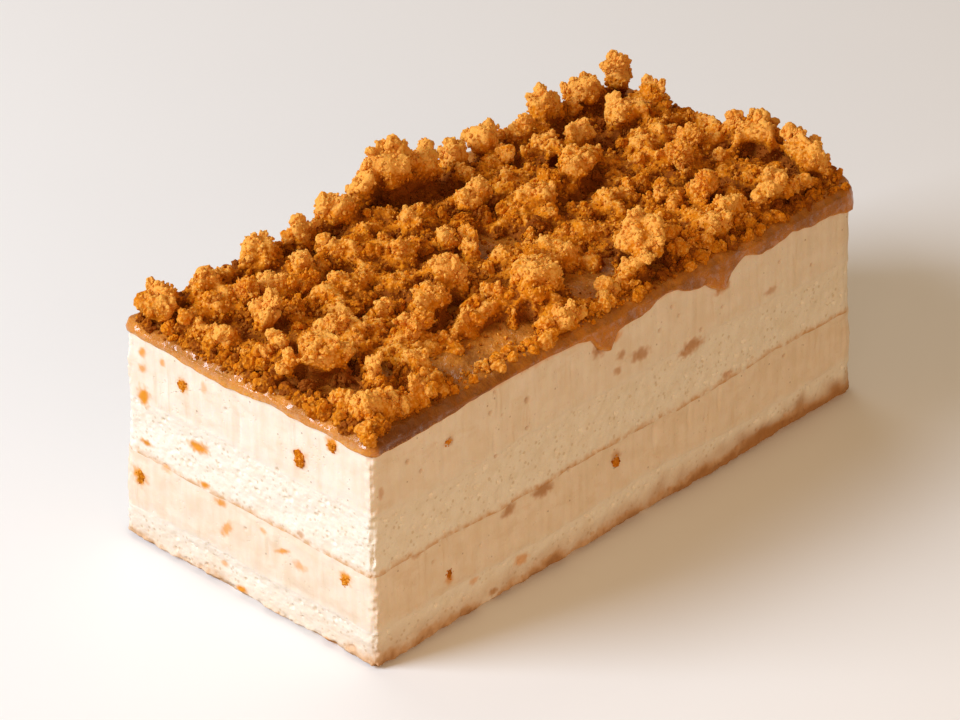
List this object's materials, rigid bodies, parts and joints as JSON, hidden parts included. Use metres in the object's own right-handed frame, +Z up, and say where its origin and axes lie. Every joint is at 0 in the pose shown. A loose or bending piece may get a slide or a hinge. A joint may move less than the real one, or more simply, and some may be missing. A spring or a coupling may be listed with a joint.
{
  "type": "speculoos cake slice",
  "caption": "Rectangular cut slice of layered sponge and cream with a brown spread glaze and a loose topping of broken spiced biscuit.",
  "frame": {"origin": "middle of the flat underside, on the surface that the slice stands on", "axes": "+Z up through the layers, +X along the length of the slice, +Y across it"},
  "size_m": [0.1061, 0.0523, 0.048],
  "materials": {
    "sponge": "porous pale sponge, cut with a knife",
    "cream": "smooth set cream with knife marks and fine pores",
    "glaze": "glossy brown biscuit spread",
    "biscuit": "dry granular broken biscuit"
  },
  "bodies": {
    "root": {"base_sponge": "sponge", "lower_cream": "cream", "middle_sponge": "sponge", "upper_cream": "cream", "spread_glaze": "glaze", "biscuit_crumbs": "biscuit"}
  },
  "joints": []
}
